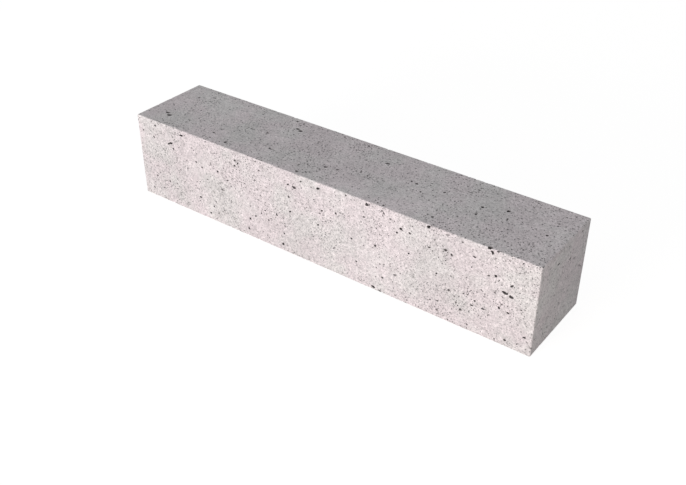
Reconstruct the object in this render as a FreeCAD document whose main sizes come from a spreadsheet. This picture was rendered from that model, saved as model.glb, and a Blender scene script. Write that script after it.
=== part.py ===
"""A cast concrete stacking block: one solid square-section block with eased arrises.

Frame, in millimetres: +X along the block's length, +Y from the front face to the back face, +Z up.
The origin is the centre of the bed face, which is the underside that the block lies on.
"""

import FreeCAD, Part
import os

import Sketcher

# The block's driving dimensions, as (alias, value in millimetres, what it sets).
DIMENSIONS = [
    ("block_length", 750.0, "end face to end face, along X"),
    ("block_depth", 150.0, "front face to back face, along Y"),
    ("block_height", 150.0, "bed face to top face, the height of one course"),
    ("arris_radius", 1.5, "rounding of the twelve edges, as the mould leaves them"),
]

BLOCK_NODE = "concrete_block"


def make_sheet(doc):
    """The spreadsheet of driving dimensions: alias, value and meaning in columns A, B and C."""
    sheet = doc.addObject("Spreadsheet::Sheet", "Dimensions")
    for row, (alias, value, meaning) in enumerate(DIMENSIONS, start=1):
        sheet.set(f"A{row}", alias)
        sheet.set(f"B{row}", str(value))
        sheet.set(f"C{row}", meaning)
        sheet.setAlias(f"B{row}", alias)
    doc.recompute()
    return sheet


def origin_plane(body, role):
    """The body's own origin plane with that role, such as YZ_Plane."""
    for feature in body.Origin.OriginFeatures:
        if feature.Role == role:
            return feature
    raise LookupError(f"{body.Name} has no {role}")


def draw_section(sketch, sheet):
    """The block's upright cross-section: a rectangle centred on the depth, standing on the bed face."""
    half = sheet.block_depth / 2
    top = sheet.block_height
    corners = [(-half, 0), (half, 0), (half, top), (-half, top)]
    for index, (x, y) in enumerate(corners):
        next_x, next_y = corners[(index + 1) % len(corners)]
        sketch.addGeometry(
            Part.LineSegment(FreeCAD.Vector(x, y, 0), FreeCAD.Vector(next_x, next_y, 0)), False
        )
    bed, back, upper, front = range(4)
    start, end = 1, 2
    origin = (-1, 1)
    for side, next_side in [(bed, back), (back, upper), (upper, front), (front, bed)]:
        sketch.addConstraint(Sketcher.Constraint("Coincident", side, end, next_side, start))
    for side in (bed, upper):
        sketch.addConstraint(Sketcher.Constraint("Horizontal", side))
    for side in (back, front):
        sketch.addConstraint(Sketcher.Constraint("Vertical", side))
    sketch.addConstraint(Sketcher.Constraint("Symmetric", bed, start, bed, end, *origin))
    width = sketch.addConstraint(Sketcher.Constraint("DistanceX", bed, start, bed, end, 2 * half))
    height = sketch.addConstraint(Sketcher.Constraint("DistanceY", back, start, back, end, top))
    sketch.setExpression(f"Constraints[{width}]", f"{sheet.Name}.block_depth")
    sketch.setExpression(f"Constraints[{height}]", f"{sheet.Name}.block_height")


def make_block(doc, sheet):
    """The block: its section padded to both sides of the middle, then every arris rounded."""
    body = doc.addObject("PartDesign::Body", "Block")
    body.Label = BLOCK_NODE

    section = body.newObject("Sketcher::SketchObject", "BlockSection")
    section.AttachmentSupport = (origin_plane(body, "YZ_Plane"), [""])
    section.MapMode = "FlatFace"
    draw_section(section, sheet)

    cast = body.newObject("PartDesign::Pad", "CastBlock")
    cast.Profile = section
    cast.Midplane = True
    cast.setExpression("Length", f"{sheet.Name}.block_length")
    doc.recompute()

    arrises = body.newObject("PartDesign::Fillet", "Arrises")
    arrises.Base = (cast, [f"Edge{number}" for number in range(1, len(cast.Shape.Edges) + 1)])
    arrises.setExpression("Radius", f"{sheet.Name}.arris_radius")
    body.Tip = arrises
    return body


def check(doc, bodies):
    """Stops the build if any object failed to recompute, or a piece is not one valid closed solid."""
    for thing in doc.Objects:
        if "Invalid" in thing.State or "Error" in thing.State:
            raise RuntimeError(f"{thing.Name} failed: {thing.State}")
    for body in bodies:
        shape = body.Shape
        if shape.isNull() or not shape.isValid() or len(shape.Solids) != 1:
            raise RuntimeError(f"{body.Label} is not one valid solid")


def main():
    doc = FreeCAD.newDocument("StackingBlock")
    sheet = make_sheet(doc)
    bodies = [make_block(doc, sheet)]
    doc.recompute()
    check(doc, bodies)
    os.makedirs("parts", exist_ok=True)
    for body in bodies:
        body.Shape.exportStep(f"parts/{body.Label}.step")
        box = body.Shape.BoundBox
        print(
            f"{body.Label}: {box.XLength:.2f} x {box.YLength:.2f} x {box.ZLength:.2f} mm, "
            f"{body.Shape.Volume / 1e6:.4f} litres"
        )


main()
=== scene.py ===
"""The looks of a cast concrete stacking block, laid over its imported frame.

Metres, in the part's own frame: +X along the block, +Y from the front face to the back face, +Z up,
with the origin at the centre of the bed face. The block is one cast piece. Geometry Nodes grow its
skin, round and wear its arrises, and cut the air pits that the mould left in its faces. Two finishes,
the cast face and the pit lining, share the effects for cement patches, sand grain and depth.
"""

import math

import bpy
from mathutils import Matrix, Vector


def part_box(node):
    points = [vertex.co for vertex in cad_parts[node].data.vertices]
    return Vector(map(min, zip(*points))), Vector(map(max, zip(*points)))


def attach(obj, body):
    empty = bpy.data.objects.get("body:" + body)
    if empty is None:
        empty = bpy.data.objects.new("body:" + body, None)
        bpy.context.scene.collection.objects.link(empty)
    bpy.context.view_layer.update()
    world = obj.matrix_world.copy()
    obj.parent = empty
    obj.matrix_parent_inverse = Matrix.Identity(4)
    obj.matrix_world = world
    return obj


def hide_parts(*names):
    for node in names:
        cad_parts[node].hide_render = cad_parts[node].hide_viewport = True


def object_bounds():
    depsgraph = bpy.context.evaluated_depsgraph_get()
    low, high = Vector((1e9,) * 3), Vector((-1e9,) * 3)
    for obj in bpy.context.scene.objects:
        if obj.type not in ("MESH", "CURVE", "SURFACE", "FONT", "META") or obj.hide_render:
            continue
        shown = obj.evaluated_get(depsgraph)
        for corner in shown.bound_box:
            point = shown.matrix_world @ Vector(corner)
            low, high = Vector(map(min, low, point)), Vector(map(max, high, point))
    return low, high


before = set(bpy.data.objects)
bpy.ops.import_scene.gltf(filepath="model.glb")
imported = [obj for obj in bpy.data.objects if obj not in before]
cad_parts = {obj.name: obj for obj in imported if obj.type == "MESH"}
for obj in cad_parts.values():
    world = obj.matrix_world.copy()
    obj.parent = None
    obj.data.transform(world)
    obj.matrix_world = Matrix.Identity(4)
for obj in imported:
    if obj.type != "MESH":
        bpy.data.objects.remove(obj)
cad_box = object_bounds()

MM = 0.001
NODE = "concrete_block"
SEED = 7

# The skin: a grid of cells over the six faces, with finer rows round the arrises.
CELL = 7.5 * MM
ARRIS_RADIUS = 1.5 * MM
ARRIS_MARGIN = 0.5 * MM
ARRIS_WEAR = 0.2 * MM
WORN_STRETCH = 30 * MM
WORN_RANGE = (0.35, 0.65, 0.0, 2.0)
FACE_WAVINESS = 0.25 * MM
WAVE_LENGTH = 90 * MM
# From this bend on, the skin counts as arris. An edge that folds by more than the angle is shaded sharp.
LEAST_ARRIS_BEND = 0.05
SHARP_EDGE_ANGLE = math.radians(38)

# How thickly air pits lie on the ends, on the front and back, and on the top and bed. Then the same for
# the pores that are too fine to cut, and how thickly pits lie on the arrises.
PIT_SHARES = (0.22, 1.0, 0.62)
PORE_SHARES = (0.3, 1.0, 1.0)
ARRIS_PIT_SHARE = 0.7
# Large pits are strewn only on the left end, the back and the bed, which look towards -X, +Y and -Z. On
# the other faces they are chosen.
LARGE_PIT_SHARES = (-0.22, 1.0, -0.6)
# Pits and pores of every size keep to the same clusters. Ranges like these carry noise from its own low
# and high to new ones: here, to a share of what is usual.
CLUSTER_SIZE = 60 * MM
CLUSTER_OFFSET = 7.0
CLUSTER_RANGE = (0.36, 0.64, 0.4, 1.6)

# The bubbles that the pits are cut with: how many shapes, how uneven, and how far apart in the noise.
BUBBLE_SHAPES = 6
BUBBLE_RADIUS = 0.5
LUMP_SIZE = 0.55
LUMPINESS = 1.2
SHAPE_STEP = 3.7

# What the mould leaves in the skin, as inputs of the bubbles and of the strewing.
HOLLOWS = [
    {"Per Square Metre": 6800.0, "Smallest": 1.3 * MM, "Largest": 2.1 * MM, "Segments": 5, "Rings": 4},
    {"Per Square Metre": 2600.0, "Smallest": 1.9 * MM, "Largest": 2.9 * MM, "Segments": 6, "Rings": 4},
    {"Per Square Metre": 900.0, "Smallest": 2.7 * MM, "Largest": 4.4 * MM, "Segments": 9, "Rings": 6},
]
LARGE_HOLLOWS = {
    "Per Square Metre": 170.0,
    "Smallest": 4.2 * MM,
    "Largest": 8.5 * MM,
    "Segments": 14,
    "Rings": 8,
}
ARRIS_CHIPS = {
    "Per Square Metre": 13000.0,
    "Smallest": 2.0 * MM,
    "Largest": 6.5 * MM,
    "Segments": 9,
    "Rings": 6,
}
CHIP_DEPTH = 0.55
# Each class of hollow draws from seeds this far from the last one's.
SEED_STEP = 20.0
# Lengthwise along the block, but a little aslant, so that the ends have a direction too.
LENGTHWISE = (1.0, 0.08, 0.08)
# How strewn hollows differ: how rare the larger ones are, and the least and most of their stretch, of
# their depth beside their mouth, of their turn in radians, and of their lift beside their depth.
RARITY_POWER = 1.8
STRETCHES = (0.9, 1.35)
DEPTHS = (0.75, 1.15)
TURNS = (-0.9, 0.9)
LIFTS = (0.0, 0.16)

# The pits that stand out on the front: mm from the left end, mm below the top, and the mouth's width
# and height in mm.
FRONT_PITS = [
    (76, 31, 8.5, 3.2), (102, 9, 6.5, 3.6), (42, 9, 4.2, 2.8), (144, 54, 4, 3), (179, 50, 4, 4),
    (33, 107, 4, 3.2), (135, 114, 3.8, 4), (219, 17, 4.2, 3), (218, 27, 4.2, 3), (327, 23, 4.5, 3),
    (339, 24, 7, 4.5), (257, 106, 4, 3), (245, 115, 4, 4), (302, 87, 4, 3), (313, 138, 4, 4.5),
    (385, 10, 6.5, 4), (418, 41, 3.5, 4.2), (392, 46, 4, 3), (474, 5, 5.5, 5), (533, 24, 4, 4),
    (490, 70, 3.8, 3.8), (384, 74, 4, 3), (447, 74, 4, 3), (526, 107, 6.5, 2), (504, 121, 3.2, 4),
    (488, 145, 6.5, 4), (499, 148, 7, 3), (578, 3, 6, 4), (607, 30, 5, 3.4), (617, 34, 3.4, 4.2),
    (581, 36, 4.6, 3), (652, 23, 4.6, 3), (678, 6, 3, 5.5), (686, 40, 4.2, 4), (702, 61, 9, 4.2),
    (712, 64, 6.5, 4.4), (696, 89, 3.4, 4.6), (672, 102, 5, 2.6), (738, 121, 5, 3), (710, 139, 4, 4),
]
# The same on the top: mm from the left end, mm from the back edge, and the mouth's length and breadth.
TOP_PITS = [
    (37, 114, 8.2, 4.8), (46, 119, 8.4, 5.6), (39, 40, 4.4, 4), (150, 122, 4, 4), (188, 136, 5, 4.6),
    (221, 71, 4.4, 4), (234, 10, 4.4, 4), (252, 31, 6.4, 5), (260, 34, 7.4, 5.4), (435, 40, 7, 4),
    (365, 105, 5.5, 4), (385, 101, 4.4, 4), (258, 109, 4.4, 4), (338, 141, 5.5, 4), (504, 65, 4.4, 4),
    (614, 65, 4.4, 5), (649, 53, 4.8, 5.6), (720, 77, 4, 4), (571, 129, 4.4, 4), (673, 148, 6.4, 5.4),
]
# The same on the right end: mm from the front edge, mm below the top, and the mouth's width and height.
RIGHT_END_PITS = [(54, 24, 8, 3), (93, 37, 5, 3), (124, 8, 4, 3), (132, 70, 3.6, 3)]
# A chosen pit's depth beside its mouth, how much its bubble is enlarged, and its turn in radians.
CHOSEN_PIT_DEPTH = 0.9
CHOSEN_PIT_SWELL = 1.12
CHOSEN_PIT_TURNS = (-0.25, 0.45)
MAP_GAP = 4 * MM

# The cement's patches, clouds and mottle. The pink's range ends in its share, and the others in what the
# colour is multiplied by.
PALE_PINK = (0.770, 0.685, 0.690)
PALE_GREEN_GREY = (0.738, 0.692, 0.678)
PATCH_SIZE = 55 * MM
PINK_RANGE = (0.38, 0.58, 0.0, 1.0)
CLOUD_STRETCH = 1.6
CLOUD_RANGE = (0.3, 0.7, 0.92, 1.05)
MOTTLE_SIZE = 11 * MM
MOTTLE_RANGE = (0.3, 0.7, 0.91, 1.06)
# The sand. Its tone is made up of each grain's own, of clumps and of specks, in these shares. Clumps and
# specks are as large as a grain times their stretch. The relief falls off from a grain's middle.
GRAIN_SIZE = 1.7 * MM
GRAIN_SHARE = 0.42
CLUMP_SHARE = 0.42
SPECK_SHARE = 0.16
CLUMP_STRETCH = 1.8
SPECK_STRETCH = 0.3
GRAIN_FALL = 0.4
GRAIN_RANGE = (0.1, 0.9, 0.67, 1.36)
GRAIN_ROUGHNESS = (0.97, 0.84)
GRAIN_RELIEF_MM = 0.13
# Scuffs lighten the skin beside the arrises: how far in they start to fade and end, and how light.
SCUFF_SIZE = 14 * MM
SCUFF_RANGE = (0.45, 0.6, 0.0, 1.0)
SCUFF_REACH = (0.5 * MM, 4 * MM)
SCUFF_LEVEL = 1.04
# What makes pores uneven: the size and the reach of the noise that shifts them, beside the largest
# pore, and how strong the weakest of them is.
PORE_WAVER_SIZE = 2.2
PORE_WAVER_REACH = 1.7
WEAKEST_PORE = 0.65
# The pores are not cut: each is dented by bump and darkened inside with painted shade.
# Fine pores, open pores and soft dimples: their inputs, their brightness inside, and their depth in mm.
PORE_LAYERS = [
    (
        {"Spacing": 2.4 * MM, "Smallest": 0.25 * MM, "Largest": 0.7 * MM, "Edge": 0.25 * MM, "Share": 0.75},
        0.35,
        0.3,
    ),
    (
        {"Spacing": 4.0 * MM, "Smallest": 0.6 * MM, "Largest": 1.5 * MM, "Edge": 0.3 * MM, "Share": 0.8},
        0.2,
        0.6,
    ),
    (
        {"Spacing": 6.2 * MM, "Smallest": 1.1 * MM, "Largest": 2.4 * MM, "Edge": 1.3 * MM, "Share": 0.45},
        0.74,
        0.25,
    ),
]
# The linings of the pits: finer sand, and painted shade with dust that thickens down to a depth.
LINING_GRAIN_SIZE = 0.9 * MM
LINING_GRAIN_RANGE = (0.1, 0.9, 0.65, 0.95)
LINING_RELIEF = 0.15 * MM
PIT_SHADE_AND_DUST = (0.034, 0.028, 0.028)
PIT_SHADE_DEPTH_RANGE = (0.05 * MM, 1.2 * MM, 0.3, 1.0)
PIT_SHADE_PATCH_SIZE = 9 * MM
PIT_SHADE_PATCH_RANGE = (0.35, 0.6, 0.82, 1.0)

# The camera looks just beside the centre of the bed face.
CAMERA_AIM = Vector((0.9 * MM, 0, 0))
CAMERA_AZIMUTH = math.radians(36.58)
CAMERA_ELEVATION = math.radians(33.81)
CAMERA_DISTANCE = 1.499
SENSOR_WIDTH_MM = 36.0
LENS_MM = 48.43

# The studio, in metres and watts. The floor lights the block as a mid grey. It is seen as white, which
# is a glow and a shade of grey that only just reach white together, so that a shadow shows faintly.
FLOOR_WIDTH = 14.0
FLOOR_GAP = 0.2 * MM
FLOOR_GREY = 0.5
FLOOR_GLOW = 0.865
FLOOR_SHADE = (0.315, 0.3, 0.291)
FILL_STRENGTH = 0.427
FILL_COLOUR = (0.952, 1.0, 1.03)
KEY_LAMP = {
    "watts": 62.0,
    "colour": (1.015, 0.985, 0.98),
    "width": 1.4,
    "height": 0.8,
    "place": Vector((-0.5, -3.0, 0.42)),
    "target": Vector((0, 0, 0.07)),
}
# A little warm light on the right end, most of it near the front.
END_LAMP = {
    "watts": 0.15,
    "colour": (1.08, 0.96, 0.86),
    "width": 0.2,
    "height": 0.2,
    "place": Vector((0.62, -0.3, 0.12)),
    "target": Vector((0.375, -0.05, 0.07)),
}


# ---- Node helpers ----

def plug(tree, socket, value):
    """Links the socket to another, or sets its value."""
    if isinstance(value, bpy.types.NodeSocket):
        tree.links.new(value, socket)
    else:
        socket.default_value = value


def add(tree, kind, inputs=None, **settings):
    """Adds a node. Its inputs are given by name or number."""
    made = tree.nodes.new(kind)
    for name, value in settings.items():
        setattr(made, name, value)
    for key, value in (inputs or {}).items():
        plug(tree, made.inputs[key], value)
    return made


def calc(tree, operation, *values):
    """The result of a Math node."""
    return add(tree, "ShaderNodeMath", dict(enumerate(values)), operation=operation).outputs[0]


def vector_calc(tree, operation, *values):
    """The vector that a Vector Math node gives."""
    made = add(tree, "ShaderNodeVectorMath", dict(enumerate(values)), operation=operation)
    return made.outputs["Vector"]


def scaled(tree, vector, factor):
    """A vector times a number."""
    inputs = {"Vector": vector, "Scale": factor}
    return add(tree, "ShaderNodeVectorMath", inputs, operation="SCALE").outputs["Vector"]


def dot(tree, first, second):
    """The dot product of two vectors."""
    inputs = {0: first, 1: second}
    return add(tree, "ShaderNodeVectorMath", inputs, operation="DOT_PRODUCT").outputs["Value"]


def parts_of(tree, vector):
    """The X, Y and Z of a vector."""
    return add(tree, "ShaderNodeSeparateXYZ", {"Vector": vector}).outputs[:]


def most_of(tree, first, second, third):
    """The largest of three numbers."""
    return calc(tree, "MAXIMUM", calc(tree, "MAXIMUM", first, second), third)


def ranged(tree, value, low, high, new_low, new_high):
    """A value carried from one range to another, and held within it."""
    inputs = {"Value": value, "From Min": low, "From Max": high, "To Min": new_low, "To Max": new_high}
    return add(tree, "ShaderNodeMapRange", inputs).outputs["Result"]


def noise(tree, place, size, detail=2.0, offset=0.0):
    """Soft noise from 0 to 1, with lumps of about that size. Each offset gives other noise."""
    scale = calc(tree, "DIVIDE", 1.0, size)
    inputs = {"Vector": place, "W": offset, "Scale": scale, "Detail": detail}
    return add(tree, "ShaderNodeTexNoise", inputs, noise_dimensions="4D").outputs["Fac"]


def stirred(tree, place, size, reach):
    """A place shifted by soft noise, so that what is drawn there gets uneven outlines."""
    inputs = {"Vector": place, "Scale": calc(tree, "DIVIDE", 1.0, size), "Detail": 1.0}
    waver = add(tree, "ShaderNodeTexNoise", inputs).outputs["Color"]
    shift = scaled(tree, vector_calc(tree, "SUBTRACT", waver, (0.5,) * 3), reach)
    return vector_calc(tree, "ADD", place, shift)


def clusters_at(tree, place):
    """How thickly pits lie at a place, as a share of what is usual."""
    return ranged(tree, noise(tree, place, CLUSTER_SIZE, 2.0, CLUSTER_OFFSET), *CLUSTER_RANGE)


def new_group(name, kind, inputs, outputs):
    """A node group whose sockets are given as (name, kind) or (name, kind, value).

    Returns the group, what its inputs give by name, and its output node.
    """
    tree = bpy.data.node_groups.new(name, kind)
    for direction, sockets in (("INPUT", inputs), ("OUTPUT", outputs)):
        for title, value_kind, *value in sockets:
            socket_kind = "NodeSocket" + value_kind
            made = tree.interface.new_socket(title, in_out=direction, socket_type=socket_kind)
            if value:
                made.default_value = value[0]
    return tree, tree.nodes.new("NodeGroupInput").outputs, tree.nodes.new("NodeGroupOutput")


def use_group(tree, group, inputs):
    """Places a group in a tree with its own values, and returns its outputs."""
    made = tree.nodes.new(tree.bl_idname.replace("Tree", "Group"))
    made.node_tree = group
    for name, value in inputs.items():
        plug(tree, made.inputs[name], value)
    return made.outputs


# ---- The block's skin ----

def skin_place(tree, given):
    """Where each point of the plain grid goes, on a face or round an arris, and which way it faces."""
    half = scaled(tree, given["Size"], 0.5)
    radius = given["Arris Radius"]
    point = add(tree, "GeometryNodeInputPosition").outputs[0]
    cells = scaled(tree, given["Cells"], 0.5)
    share = vector_calc(tree, "DIVIDE", vector_calc(tree, "ABSOLUTE", point), half)
    rows_in = vector_calc(tree, "MULTIPLY", vector_calc(tree, "SUBTRACT", (1, 1, 1), share), cells)

    # The two outer rows lie within the arris, so that its round has four flats. The third is a narrow
    # row beside it, so that the shading of the arris doesn't run on over the face. The rest are even.
    flat = math.tan(math.pi / 8)
    rest = 1e6
    core = vector_calc(tree, "SUBTRACT", half, scaled(tree, (1, 1, 1), radius))
    inner = vector_calc(tree, "SUBTRACT", core, scaled(tree, (1, 1, 1), given["Margin"]))
    row_depths = [
        (0, 1, scaled(tree, (1 - flat,) * 3, radius)),
        (1, 1, scaled(tree, (flat,) * 3, radius)),
        (2, 1, scaled(tree, (1, 1, 1), given["Margin"])),
        (3, rest, vector_calc(tree, "DIVIDE", inner, vector_calc(tree, "SUBTRACT", cells, (3, 3, 3)))),
    ]
    inset = (0, 0, 0)
    for rows_before, rows, depth in row_depths:
        past = vector_calc(tree, "SUBTRACT", rows_in, (rows_before,) * 3)
        held = vector_calc(tree, "MINIMUM", vector_calc(tree, "MAXIMUM", past, (0, 0, 0)), (rows,) * 3)
        inset = vector_calc(tree, "MULTIPLY_ADD", held, depth, inset)

    side = vector_calc(tree, "SIGN", point)
    moved = vector_calc(tree, "MULTIPLY", vector_calc(tree, "SUBTRACT", half, inset), side)
    low_core = scaled(tree, core, -1)
    centre = vector_calc(tree, "MAXIMUM", vector_calc(tree, "MINIMUM", moved, core), low_core)
    facing = vector_calc(tree, "NORMALIZE", vector_calc(tree, "SUBTRACT", moved, centre))
    return vector_calc(tree, "ADD", centre, scaled(tree, facing, radius)), facing


def arris_bend(tree, facing):
    """How far a direction turns from a face: 0 on the face, 1 along an arris, and more at a corner."""
    most = most_of(tree, *parts_of(tree, vector_calc(tree, "ABSOLUTE", facing)))
    return calc(tree, "DIVIDE", calc(tree, "SUBTRACT", 1.0, most), 1 - math.cos(math.pi / 4))


def skin_group():
    """The block's closed skin: flat faces with a slight wave, and round arrises, worn in places."""
    tree, given, result = new_group(
        "Block skin",
        "GeometryNodeTree",
        [
            ("Size", "Vector"),
            ("Cells", "Vector"),
            ("Arris Radius", "Float", ARRIS_RADIUS),
            ("Margin", "Float", ARRIS_MARGIN),
            ("Arris Wear", "Float", ARRIS_WEAR),
            ("Face Waviness", "Float", FACE_WAVINESS),
            ("Seed", "Int", SEED),
        ],
        [("Geometry", "Geometry")],
    )
    along, deep, high = (calc(tree, "ADD", cells, 1.0) for cells in parts_of(tree, given["Cells"]))
    counts = {"Size": given["Size"], "Vertices X": along, "Vertices Y": deep, "Vertices Z": high}
    grid = add(tree, "GeometryNodeMeshCube", counts).outputs["Mesh"]

    place, facing = skin_place(tree, given)
    rubbed = ranged(tree, noise(tree, place, WORN_STRETCH, 3.0, given["Seed"]), *WORN_RANGE)
    deepest_wear = calc(tree, "MULTIPLY", rubbed, given["Arris Wear"])
    wear = calc(tree, "MULTIPLY", arris_bend(tree, facing), deepest_wear)
    waves = noise(tree, place, WAVE_LENGTH, 3.0, given["Seed"])
    wave = calc(tree, "MULTIPLY", waves, given["Face Waviness"])
    inward = scaled(tree, facing, calc(tree, "MULTIPLY", calc(tree, "ADD", wear, wave), -1.0))
    shaped = add(tree, "GeometryNodeSetPosition", {"Geometry": grid, "Position": place, "Offset": inward})
    plug(tree, result.inputs["Geometry"], shaped.outputs["Geometry"])
    return tree


# ---- Hollows in the skin ----

def bubble_group():
    """A set of lumpy bubbles, about one unit across, as instances to pick from.

    Each face is marked as lining or not, and keeps that mark when a hollow is cut with it.
    """
    tree, given, result = new_group(
        "Air bubbles",
        "GeometryNodeTree",
        [
            ("Segments", "Int", 8),
            ("Rings", "Int", 6),
            ("Lumpiness", "Float", LUMPINESS),
            ("Lining", "Bool", True),
            ("Seed", "Int", SEED),
        ],
        [("Bubbles", "Geometry")],
    )
    inputs = {"Segments": given["Segments"], "Rings": given["Rings"], "Radius": BUBBLE_RADIUS}
    ball = add(tree, "GeometryNodeMeshUVSphere", inputs).outputs["Mesh"]
    mark = {"Geometry": ball, "Name": "lining", "Value": given["Lining"]}
    marked = add(tree, "GeometryNodeStoreNamedAttribute", mark, data_type="BOOLEAN", domain="FACE")
    place = add(tree, "GeometryNodeInputPosition").outputs[0]
    shapes = add(tree, "GeometryNodeJoinGeometry")
    for number in range(BUBBLE_SHAPES):
        offset = calc(tree, "ADD", given["Seed"], SHAPE_STEP * number)
        lumps = noise(tree, place, LUMP_SIZE, 1.5, offset)
        swell = calc(tree, "MULTIPLY", calc(tree, "SUBTRACT", lumps, 0.5), given["Lumpiness"])
        inputs = {"Geometry": marked.outputs[0], "Offset": scaled(tree, place, swell)}
        lumpy = add(tree, "GeometryNodeSetPosition", inputs).outputs["Geometry"]
        single = add(tree, "GeometryNodeGeometryToInstance", {"Geometry": lumpy}).outputs[0]
        tree.links.new(single, shapes.inputs[0])
    plug(tree, result.inputs["Bubbles"], shapes.outputs[0])
    return tree


def random_between(tree, low, high, seed):
    """A random number for each point."""
    inputs = {2: low, 3: high, "Seed": seed}
    return add(tree, "FunctionNodeRandomValue", inputs, data_type="FLOAT").outputs[1]


def turned_to(tree, facing, along):
    """The turn that sets Z to the way a face looks, and X as near as can be to a direction along it."""
    inputs = {"Primary Axis": facing, "Secondary Axis": along}
    turn = add(tree, "FunctionNodeAxesToRotation", inputs, primary_axis="Z", secondary_axis="X")
    return turn.outputs[0]


def spun(tree, turn, angle):
    """A turn with a further spin about its own Z."""
    spin = add(tree, "FunctionNodeAxisAngleToRotation", {"Axis": (0, 0, 1), "Angle": angle}).outputs[0]
    inputs = {"Rotation": turn, "Rotate By": spin}
    return add(tree, "FunctionNodeRotateRotation", inputs, rotation_space="LOCAL").outputs[0]


def bubbles_on(tree, points, bubbles, pick, turn, size):
    """One of the bubbles on each point."""
    inputs = {
        "Points": points,
        "Instance": bubbles,
        "Pick Instance": True,
        "Instance Index": pick,
        "Rotation": turn,
        "Scale": size,
    }
    return add(tree, "GeometryNodeInstanceOnPoints", inputs).outputs[0]


def strew_group():
    """Bubbles strewn in clusters over a skin, more or less lengthwise, sunk to about their widest."""
    tree, given, result = new_group(
        "Strewn hollows",
        "GeometryNodeTree",
        [
            ("Skin", "Geometry"),
            ("Bubbles", "Geometry"),
            ("Per Square Metre", "Float", 1000.0),
            ("Shares", "Vector"),
            ("One Way Shares", "Vector"),
            ("Arris Share", "Float", 0.0),
            ("Smallest", "Float", 2 * MM),
            ("Largest", "Float", 4 * MM),
            ("Depth", "Float", 1.0),
            ("Seed", "Int", SEED),
        ],
        [("Hollows", "Geometry")],
    )
    normal = add(tree, "GeometryNodeInputNormal").outputs[0]
    both_ways = dot(tree, vector_calc(tree, "ABSOLUTE", normal), given["Shares"])
    one_way = calc(tree, "MAXIMUM", dot(tree, normal, given["One Way Shares"]), 0.0)
    on_arris = calc(tree, "GREATER_THAN", arris_bend(tree, normal), LEAST_ARRIS_BEND)
    on_face = calc(tree, "SUBTRACT", 1.0, on_arris)
    share = calc(tree, "MULTIPLY", calc(tree, "ADD", both_ways, one_way), on_face)
    share = calc(tree, "MULTIPLY_ADD", on_arris, given["Arris Share"], share)
    place = add(tree, "GeometryNodeInputPosition").outputs[0]
    clusters = clusters_at(tree, place)
    density = calc(tree, "MULTIPLY", calc(tree, "MULTIPLY", share, clusters), given["Per Square Metre"])
    inputs = {"Mesh": given["Skin"], "Density": density, "Seed": given["Seed"]}
    strewn = add(tree, "GeometryNodeDistributePointsOnFaces", inputs, distribute_method="RANDOM").outputs

    seeds = [calc(tree, "ADD", given["Seed"], float(number)) for number in range(1, 7)]
    largeness = calc(tree, "POWER", random_between(tree, 0.0, 1.0, seeds[0]), RARITY_POWER)
    mouth = ranged(tree, largeness, 0.0, 1.0, given["Smallest"], given["Largest"])
    stretch = random_between(tree, *STRETCHES, seeds[1])
    depth = calc(tree, "MULTIPLY", given["Depth"], random_between(tree, *DEPTHS, seeds[2]))
    depth = calc(tree, "MULTIPLY", mouth, depth)
    wide = calc(tree, "MULTIPLY", mouth, stretch)
    narrow = calc(tree, "DIVIDE", mouth, stretch)
    size = add(tree, "ShaderNodeCombineXYZ", {"X": wide, "Y": narrow, "Z": depth}).outputs[0]

    turn = turned_to(tree, strewn["Normal"], LENGTHWISE)
    turn = spun(tree, turn, random_between(tree, *TURNS, seeds[3]))
    lift = calc(tree, "MULTIPLY", depth, random_between(tree, *LIFTS, seeds[4]))
    raised = {"Geometry": strewn["Points"], "Offset": scaled(tree, strewn["Normal"], lift)}
    raised = add(tree, "GeometryNodeSetPosition", raised).outputs[0]
    pick = {4: 0, 5: BUBBLE_SHAPES - 1, "Seed": seeds[5]}
    pick = add(tree, "FunctionNodeRandomValue", pick, data_type="INT").outputs[2]
    plug(tree, result.inputs["Hollows"], bubbles_on(tree, raised, given["Bubbles"], pick, turn, size))
    return tree


def named_attribute(tree, name, kind):
    """What an attribute of the mesh holds."""
    return add(tree, "GeometryNodeInputNamedAttribute", {"Name": name}, data_type=kind).outputs[0]


def chosen_hollows(tree, points, bubbles):
    """Bubbles at the chosen places, each turned to its face and as large as its mouth."""
    names = ("facing", "along", "mouth")
    facing, along, mouth = (named_attribute(tree, name, "FLOAT_VECTOR") for name in names)
    index = add(tree, "GeometryNodeInputIndex").outputs[0]
    pick = calc(tree, "MODULO", index, float(BUBBLE_SHAPES))
    turn = spun(tree, turned_to(tree, facing, along), random_between(tree, *CHOSEN_PIT_TURNS, SEED))
    return bubbles_on(tree, points, bubbles, pick, turn, mouth)


def hollows_in(tree, groups, skin, seed, values, spread, lining=True):
    """The bubbles of one class of hollow, and the shapes that they are picked from.

    The values say how many and how large, and the spread where they lie and how deep.
    """
    bubble, strew = groups
    shapes = {"Segments": values["Segments"], "Rings": values["Rings"], "Lining": lining, "Seed": seed}
    shapes = use_group(tree, bubble, shapes)["Bubbles"]
    inputs = {name: values[name] for name in ("Per Square Metre", "Smallest", "Largest")}
    inputs.update(spread)
    inputs.update({"Skin": skin, "Bubbles": shapes, "Seed": seed})
    return use_group(tree, strew, inputs)["Hollows"], shapes


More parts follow.
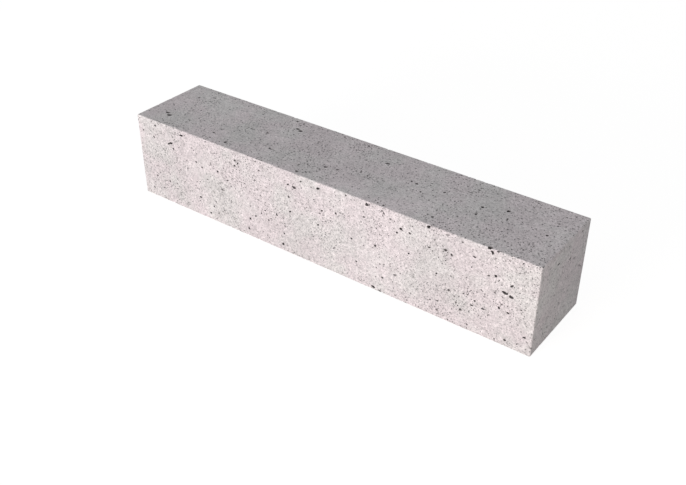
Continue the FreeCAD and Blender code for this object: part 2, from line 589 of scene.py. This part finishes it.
def block_group():
    """The whole block: its skin, less every hollow, in its two finishes."""
    tree, given, result = new_group(
        "Cast block",
        "GeometryNodeTree",
        [
            ("Chosen Pits", "Geometry"),
            ("Size", "Vector"),
            ("Cells", "Vector"),
            ("Middle Height", "Float", 0.0),
            ("Pit Shares", "Vector", PIT_SHARES),
            ("Seed", "Int", SEED),
            ("Face Finish", "Material"),
            ("Lining Finish", "Material"),
        ],
        [("Geometry", "Geometry")],
    )
    sizes = {"Size": given["Size"], "Cells": given["Cells"], "Seed": given["Seed"]}
    skin = use_group(tree, skin_group(), sizes)["Geometry"]
    lift = add(tree, "ShaderNodeCombineXYZ", {"Z": given["Middle Height"]}).outputs[0]
    skin = add(tree, "GeometryNodeTransform", {"Geometry": skin, "Translation": lift}).outputs[0]

    groups = bubble_group(), strew_group()
    *pit_seeds, large_seed, chip_seed = (
        calc(tree, "ADD", given["Seed"], SEED_STEP * number) for number in range(len(HOLLOWS) + 2)
    )
    cutters = []
    for seed, values in zip(pit_seeds, HOLLOWS):
        spread = {"Shares": given["Pit Shares"], "Arris Share": ARRIS_PIT_SHARE}
        cutters.append(hollows_in(tree, groups, skin, seed, values, spread)[0])
    spread = {"One Way Shares": LARGE_PIT_SHARES}
    large, shapes = hollows_in(tree, groups, skin, large_seed, LARGE_HOLLOWS, spread)
    spread = {"Arris Share": 1.0, "Depth": CHIP_DEPTH}
    chips, _ = hollows_in(tree, groups, skin, chip_seed, ARRIS_CHIPS, spread, lining=False)
    cutters += [large, chips, chosen_hollows(tree, given["Chosen Pits"], shapes)]
    settings = {"operation": "DIFFERENCE", "solver": "MANIFOLD"}
    cut = add(tree, "GeometryNodeMeshBoolean", {"Mesh 1": skin}, **settings)
    for cutter in cutters:
        tree.links.new(cutter, cut.inputs["Mesh 2"])

    # A hollow's rim and a chip's edges are sharp, and a lining is smooth.
    angle = add(tree, "GeometryNodeInputMeshEdgeAngle").outputs["Unsigned Angle"]
    steep = calc(tree, "GREATER_THAN", angle, SHARP_EDGE_ANGLE)
    smooth = add(tree, "GeometryNodeSetShadeSmooth", {"Geometry": cut.outputs["Mesh"]}, domain="FACE")
    creases = {"Geometry": smooth.outputs[0], "Selection": steep, "Shade Smooth": False}
    creased = add(tree, "GeometryNodeSetShadeSmooth", creases, domain="EDGE").outputs[0]
    whole = add(tree, "GeometryNodeRealizeInstances", {"Geometry": creased}).outputs[0]
    faced = {"Geometry": whole, "Material": given["Face Finish"]}
    faced = add(tree, "GeometryNodeSetMaterial", faced).outputs[0]
    lining = named_attribute(tree, "lining", "BOOLEAN")
    lined = {"Geometry": faced, "Selection": lining, "Material": given["Lining Finish"]}
    lined = add(tree, "GeometryNodeSetMaterial", lined).outputs[0]
    plug(tree, result.inputs["Geometry"], lined)
    return tree


# ---- The block ----

def chosen_pits(low, high):
    """The chosen pits as loose points on the faces: (place, facing, long direction, mouth)."""
    pits = []
    for along, down, *mouth in FRONT_PITS:
        place = (low.x + along * MM, low.y, high.z - down * MM)
        pits.append((place, (0, -1, 0), (1, 0, 0), mouth))
    for along, forward, *mouth in TOP_PITS:
        place = (low.x + along * MM, high.y - forward * MM, high.z)
        pits.append((place, (0, 0, 1), (1, 0, 0), mouth))
    for back, down, *mouth in RIGHT_END_PITS:
        place = (high.x, low.y + back * MM, high.z - down * MM)
        pits.append((place, (1, 0, 0), (0, 1, 0), mouth))
    return pits


def pit_mesh(pits):
    """A mesh of loose points that carries each pit's facing, long direction and mouth."""
    mesh = bpy.data.meshes.new(NODE + "_cast")
    mesh.from_pydata([place for place, *_ in pits], [], [])
    columns = {
        "facing": [facing for _, facing, _, _ in pits],
        "along": [along for _, _, along, _ in pits],
        "mouth": [
            CHOSEN_PIT_SWELL * MM * Vector((width, height, CHOSEN_PIT_DEPTH * math.sqrt(width * height)))
            for *_, (width, height) in pits
        ],
    }
    for name, values in columns.items():
        attribute = mesh.attributes.new(name, "FLOAT_VECTOR", "POINT")
        for entry, value in zip(attribute.data, values):
            entry.vector = value
    return mesh


def lay_out_map(mesh, low, high):
    """A map of the faces, for a finish to be baked to: four long strips, one over another, then both ends.

    Every part of the mesh goes with the side of the block that it looks towards most.
    """
    size = high - low
    gap = MAP_GAP
    scale = 1 / (size.x + 2 * gap)
    strip_tops = {}
    start = gap
    for side, depth in (("-Y", size.z), ("+Y", size.z), ("+Z", size.y), ("-Z", size.y)):
        strip_tops[side] = start
        start += depth + gap
    layer = mesh.uv_layers.new(name="OFBake")
    for face in mesh.polygons:
        strongest = max(range(3), key=lambda axis: abs(face.normal[axis]))
        side = ("-" if face.normal[strongest] < 0 else "+") + "XYZ"[strongest]
        for corner in face.loop_indices:
            place = mesh.vertices[mesh.loops[corner].vertex_index].co - low
            if side[1] == "X":
                across = gap + place.y + (size.y + gap if side[0] == "+" else 0)
                up = start + place.z
            else:
                across = gap + place.x
                up = strip_tops[side] + (place.z if side[1] == "Y" else place.y)
            layer.data[corner].uv = (across * scale, up * scale)


def make_block(face_finish, lining_finish):
    """The block as one plain mesh at the origin."""
    low, high = (Vector(corner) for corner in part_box(NODE))
    size = high - low
    block = bpy.data.objects.new(NODE + "_cast", pit_mesh(chosen_pits(low, high)))
    bpy.context.collection.objects.link(block)
    maker = block.modifiers.new("Cast block", "NODES")
    maker.node_group = block_group()
    values = {
        "Size": list(size),
        "Cells": [float(round(side / CELL)) for side in size],
        "Middle Height": (low.z + high.z) / 2,
        "Pit Shares": list(PIT_SHARES),
        "Seed": SEED,
        "Face Finish": face_finish,
        "Lining Finish": lining_finish,
    }
    for item in maker.node_group.interface.items_tree:
        if item.in_out == "INPUT" and item.name in values:
            maker[item.identifier] = values[item.name]

    mesh = bpy.data.meshes.new_from_object(block.evaluated_get(bpy.context.evaluated_depsgraph_get()))
    block.modifiers.remove(maker)
    block.data = mesh
    for slot in reversed(range(len(mesh.materials))):
        if mesh.materials[slot] is None:
            mesh.materials.pop(index=slot)
    lay_out_map(mesh, low, high)
    return block


# ---- Finishes ----

def measure_group():
    """How deep a point lies below the nearest face, how far it is from an arris, and that face's share.

    The shares are for the ends, for the front and back, and for the top and bed.
    """
    tree, given, result = new_group(
        "Depth in the block",
        "ShaderNodeTree",
        [("Place", "Vector"), ("Low Corner", "Vector"), ("High Corner", "Vector"), ("Shares", "Vector")],
        [("Depth", "Float"), ("Arris Distance", "Float"), ("Face Share", "Float")],
    )
    from_low = vector_calc(tree, "SUBTRACT", given["Place"], given["Low Corner"])
    from_high = vector_calc(tree, "SUBTRACT", given["High Corner"], given["Place"])
    x, y, z = parts_of(tree, vector_calc(tree, "MINIMUM", from_low, from_high))
    lesser, greater = calc(tree, "MINIMUM", x, y), calc(tree, "MAXIMUM", x, y)
    plug(tree, result.inputs["Depth"], calc(tree, "MINIMUM", lesser, z))
    middle = calc(tree, "MAXIMUM", lesser, calc(tree, "MINIMUM", greater, z))
    plug(tree, result.inputs["Arris Distance"], middle)

    of_end, of_front, of_top = parts_of(tree, given["Shares"])
    at_end = calc(tree, "LESS_THAN", x, calc(tree, "MINIMUM", y, z))
    at_top = calc(tree, "LESS_THAN", z, lesser)
    share = calc(tree, "MULTIPLY_ADD", at_end, calc(tree, "SUBTRACT", of_end, of_front), of_front)
    share = calc(tree, "MULTIPLY_ADD", at_top, calc(tree, "SUBTRACT", of_top, of_front), share)
    plug(tree, result.inputs["Face Share"], share)
    return tree


def mix_colours(tree, factor, first, second):
    """The first colour at a factor of 0, and the second at 1."""
    return add(tree, "ShaderNodeMix", {0: factor, 6: first, 7: second}, data_type="RGBA").outputs[2]


def patches_group():
    """Cement patches: pale pink melting into pale green grey, with soft lighter and darker clouds."""
    tree, given, result = new_group(
        "Cement patches",
        "ShaderNodeTree",
        [
            ("Place", "Vector"),
            ("Patch Size", "Float", PATCH_SIZE),
            ("Pink", "Color", (*PALE_PINK, 1)),
            ("Green Grey", "Color", (*PALE_GREEN_GREY, 1)),
        ],
        [("Colour", "Color"), ("Cloud", "Float")],
    )
    place = given["Place"]
    pinkness = ranged(tree, noise(tree, place, given["Patch Size"], 3.0, 1.0), *PINK_RANGE)
    plug(tree, result.inputs["Colour"], mix_colours(tree, pinkness, given["Green Grey"], given["Pink"]))
    cloud = noise(tree, place, calc(tree, "MULTIPLY", given["Patch Size"], CLOUD_STRETCH), 4.0, 5.0)
    plug(tree, result.inputs["Cloud"], cloud)
    return tree


def grain_group():
    """Sand in cement: a tone from 0 to 1 that differs from grain to grain, and a relief within about 1."""
    tree, given, result = new_group(
        "Sand grain",
        "ShaderNodeTree",
        [("Place", "Vector"), ("Grain Size", "Float", GRAIN_SIZE)],
        [("Tone", "Float"), ("Relief", "Float")],
    )
    place, size = given["Place"], given["Grain Size"]
    speck_size = calc(tree, "MULTIPLY", size, SPECK_STRETCH)
    clump_size = calc(tree, "MULTIPLY", size, CLUMP_STRETCH)
    inputs = {"Vector": stirred(tree, place, speck_size, size), "Scale": calc(tree, "DIVIDE", 1.0, size)}
    cells = add(tree, "ShaderNodeTexVoronoi", inputs).outputs
    each, *_ = parts_of(tree, cells["Color"])
    clumps = noise(tree, place, clump_size, 3.0)
    from_clumps = ranged(tree, clumps, 0.25, 0.75, 0.0, CLUMP_SHARE)
    from_specks = ranged(tree, noise(tree, place, speck_size, 2.0, 3.0), 0.25, 0.75, 0.0, SPECK_SHARE)
    tone = calc(tree, "MULTIPLY_ADD", each, GRAIN_SHARE, from_clumps)
    tone = calc(tree, "ADD", tone, from_specks)
    relief = calc(tree, "SUBTRACT", clumps, calc(tree, "MULTIPLY", cells["Distance"], GRAIN_FALL))
    plug(tree, result.inputs["Tone"], tone)
    plug(tree, result.inputs["Relief"], relief)
    return tree


def pores_group():
    """Pores too fine to cut, uneven and in clusters: up to 1 inside a pore, and 0 between them."""
    tree, given, result = new_group(
        "Fine pores",
        "ShaderNodeTree",
        [
            ("Place", "Vector"),
            ("Spacing", "Float", 3 * MM),
            ("Smallest", "Float", 0.2 * MM),
            ("Largest", "Float", 0.6 * MM),
            ("Share", "Float", 0.5),
            ("Face Share", "Float", 1.0),
            ("Edge", "Float", 0.25 * MM),
        ],
        [("Pore", "Float")],
    )
    waver_size = calc(tree, "MULTIPLY", given["Largest"], PORE_WAVER_SIZE)
    waver_reach = calc(tree, "MULTIPLY", given["Largest"], PORE_WAVER_REACH)
    uneven = stirred(tree, given["Place"], waver_size, waver_reach)
    scale = calc(tree, "DIVIDE", 1.0, given["Spacing"])
    cells = add(tree, "ShaderNodeTexVoronoi", {"Vector": uneven, "Scale": scale}).outputs
    strength, each, _ = parts_of(tree, cells["Color"])
    share = calc(tree, "MULTIPLY", given["Share"], given["Face Share"])
    share = calc(tree, "MULTIPLY", share, clusters_at(tree, given["Place"]))
    least = calc(tree, "SUBTRACT", 1.0, share)
    radius = ranged(tree, each, least, 1.0, given["Smallest"], given["Largest"])
    away = calc(tree, "MULTIPLY", cells["Distance"], given["Spacing"])
    inside = ranged(tree, calc(tree, "SUBTRACT", radius, away), 0.0, given["Edge"], 0.0, 1.0)
    inside = calc(tree, "MULTIPLY", inside, ranged(tree, strength, 0.0, 1.0, WEAKEST_PORE, 1.0))
    is_pore = calc(tree, "GREATER_THAN", each, least)
    plug(tree, result.inputs["Pore"], calc(tree, "MULTIPLY", inside, is_pore))
    return tree


def brightened(tree, colour, levels):
    """A colour times several levels of brightness."""
    for level in levels:
        colour = scaled(tree, colour, level)
    return colour


def new_finish(name, roughness):
    """A finish to fill in: its material, its node tree, its shader and its place on the block."""
    material = bpy.data.materials.new(name)
    material.use_nodes = True
    tree = material.node_tree
    shader = tree.nodes["Principled BSDF"]
    shader.inputs["Roughness"].default_value = roughness
    return material, tree, shader, add(tree, "ShaderNodeTexCoord").outputs["Object"]


def cast_face_finish(effects):
    """The face that lay against the mould: cement and sand, with fine pores."""
    material, tree, shader, place = new_finish("cast_face", 0.9)
    patches = use_group(tree, effects["patches"], {"Place": place})
    grain = use_group(tree, effects["grain"], {"Place": place})
    corners = {"Low Corner": cad_box[0], "High Corner": cad_box[1]}
    measure = use_group(tree, effects["measure"], {"Place": place, "Shares": PORE_SHARES, **corners})
    near_arris = ranged(tree, measure["Arris Distance"], *SCUFF_REACH, 1.0, 0.0)
    scuffs = ranged(tree, noise(tree, place, SCUFF_SIZE, 3.0, 9.0), *SCUFF_RANGE)
    scuffed = calc(tree, "MULTIPLY", near_arris, scuffs)
    levels = [
        ranged(tree, patches["Cloud"], *CLOUD_RANGE),
        ranged(tree, noise(tree, place, MOTTLE_SIZE, 3.0, 21.0), *MOTTLE_RANGE),
        ranged(tree, grain["Tone"], *GRAIN_RANGE),
        ranged(tree, scuffed, 0.0, 1.0, 1.0, SCUFF_LEVEL),
    ]
    height = calc(tree, "MULTIPLY", grain["Relief"], GRAIN_RELIEF_MM)
    # Each pore is dented by the bump and darkened inside with painted shade.
    for values, painted_pore_shade, depth in PORE_LAYERS:
        spread = {"Place": place, "Face Share": measure["Face Share"]}
        pore = use_group(tree, effects["pores"], {**spread, **values})["Pore"]
        levels.append(ranged(tree, pore, 0.0, 1.0, 1.0, painted_pore_shade))
        height = calc(tree, "MULTIPLY_ADD", pore, -depth, height)

    plug(tree, shader.inputs["Base Color"], brightened(tree, patches["Colour"], levels))
    plug(tree, shader.inputs["Roughness"], ranged(tree, grain["Tone"], 0.0, 1.0, *GRAIN_ROUGHNESS))
    bump = add(tree, "ShaderNodeBump", {"Height": height, "Distance": MM}).outputs[0]
    plug(tree, shader.inputs["Normal"], bump)
    return material


def pit_lining_finish(effects):
    """The inside of an air pit: the same cement, going dark with painted shade, and with dust and damp, as
    it gets deeper.
    """
    material, tree, shader, place = new_finish("pit_lining", 0.95)
    patches = use_group(tree, effects["patches"], {"Place": place})
    grain = use_group(tree, effects["grain"], {"Place": place, "Grain Size": LINING_GRAIN_SIZE})
    corners = {"Low Corner": cad_box[0], "High Corner": cad_box[1]}
    measure = use_group(tree, effects["measure"], {"Place": place, **corners})

    sandy = ranged(tree, grain["Tone"], *LINING_GRAIN_RANGE)
    cement = brightened(tree, patches["Colour"], [sandy])
    # Painted shade, with dust, darkens the lining the deeper it lies below the face, in uneven patches.
    painted_depth_shade = ranged(tree, measure["Depth"], *PIT_SHADE_DEPTH_RANGE)
    uneven_pit_shade = ranged(tree, noise(tree, place, PIT_SHADE_PATCH_SIZE, 1.0, 13.0), *PIT_SHADE_PATCH_RANGE)
    pit_shade_and_dust = calc(tree, "MULTIPLY", painted_depth_shade, uneven_pit_shade)
    plug(tree, shader.inputs["Base Color"], mix_colours(tree, pit_shade_and_dust, cement, (*PIT_SHADE_AND_DUST, 1)))
    bump = add(tree, "ShaderNodeBump", {"Height": grain["Relief"], "Distance": LINING_RELIEF}).outputs[0]
    plug(tree, shader.inputs["Normal"], bump)
    return material


# ---- Studio ----

def straight_sight(tree):
    """1 where a surface is seen, straight, in a gloss or through glass, and 0 where it only gives light."""
    path = add(tree, "ShaderNodeLightPath").outputs
    return most_of(tree, path["Is Camera Ray"], path["Is Glossy Ray"], path["Is Transmission Ray"])


def make_floor():
    """A plain pale floor that reads as white and keeps the block's shadow."""
    half = FLOOR_WIDTH / 2
    corners = [(-half, -half, 0), (half, -half, 0), (half, half, 0), (-half, half, 0)]
    mesh = bpy.data.meshes.new("floor")
    mesh.from_pydata(corners, [], [(0, 1, 2, 3)])
    floor = bpy.data.objects.new("floor", mesh)
    bpy.context.collection.objects.link(floor)
    floor.location.z = cad_box[0][2] - FLOOR_GAP

    material = bpy.data.materials.new("floor_white")
    material.use_nodes = True
    tree = material.node_tree
    tree.nodes.clear()
    grey = add(tree, "ShaderNodeBsdfDiffuse", {"Color": (*(FLOOR_GREY,) * 3, 1)}).outputs[0]
    shaded = add(tree, "ShaderNodeBsdfDiffuse", {"Color": (*FLOOR_SHADE, 1)}).outputs[0]
    glow = add(tree, "ShaderNodeEmission", {"Color": (1, 1, 1, 1), "Strength": FLOOR_GLOW}).outputs[0]
    white = add(tree, "ShaderNodeAddShader", {0: shaded, 1: glow}).outputs[0]
    seen = add(tree, "ShaderNodeMixShader", {0: straight_sight(tree), 1: grey, 2: white}).outputs[0]
    add(tree, "ShaderNodeOutputMaterial", {"Surface": seen})
    mesh.materials.append(material)


def make_world():
    """Even fill light from all round, which is seen as plain white."""
    world = bpy.data.worlds.new("studio")
    bpy.context.scene.world = world
    world.use_nodes = True
    tree = world.node_tree
    tree.nodes.clear()
    inputs = {"Color": (*FILL_COLOUR, 1), "Strength": FILL_STRENGTH}
    fill = add(tree, "ShaderNodeBackground", inputs).outputs[0]
    white = add(tree, "ShaderNodeBackground", {"Color": (1, 1, 1, 1), "Strength": 1.0}).outputs[0]
    seen = add(tree, "ShaderNodeMixShader", {0: straight_sight(tree), 1: fill, 2: white}).outputs[0]
    add(tree, "ShaderNodeOutputWorld", {"Surface": seen})


def make_lamp(name, watts, colour, width, height, place, target):
    """A soft box that shines from one place towards another."""
    light = bpy.data.lights.new(name, "AREA")
    light.shape = "RECTANGLE"
    light.size, light.size_y = width, height
    light.energy = watts
    light.color = colour
    lamp = bpy.data.objects.new(name, light)
    lamp.location = place
    lamp.rotation_euler = (target - place).to_track_quat("-Z", "Y").to_euler()
    lamp.visible_camera = False
    bpy.context.collection.objects.link(lamp)


def make_camera():
    """The camera, turned to its aim."""
    lens = bpy.data.cameras.new("camera")
    lens.sensor_width = SENSOR_WIDTH_MM
    lens.lens = LENS_MM
    camera = bpy.data.objects.new("camera", lens)
    level = math.cos(CAMERA_ELEVATION)
    right = math.sin(CAMERA_AZIMUTH) * level
    forward = math.cos(CAMERA_AZIMUTH) * level
    out = Vector((right, -forward, math.sin(CAMERA_ELEVATION)))
    camera.location = CAMERA_AIM + out * CAMERA_DISTANCE
    camera.rotation_euler = (-out).to_track_quat("-Z", "Y").to_euler()
    bpy.context.collection.objects.link(camera)
    bpy.context.scene.camera = camera


def make_studio():
    """The camera, the floor and the light."""
    make_camera()
    make_world()
    make_floor()
    make_lamp("key_lamp", **KEY_LAMP)
    make_lamp("end_lamp", **END_LAMP)
    bpy.context.scene.view_settings.view_transform = "Standard"


make_studio()
effects = {
    "patches": patches_group(),
    "grain": grain_group(),
    "pores": pores_group(),
    "measure": measure_group(),
}
block = make_block(cast_face_finish(effects), pit_lining_finish(effects))
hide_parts(NODE)
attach(block, "root")
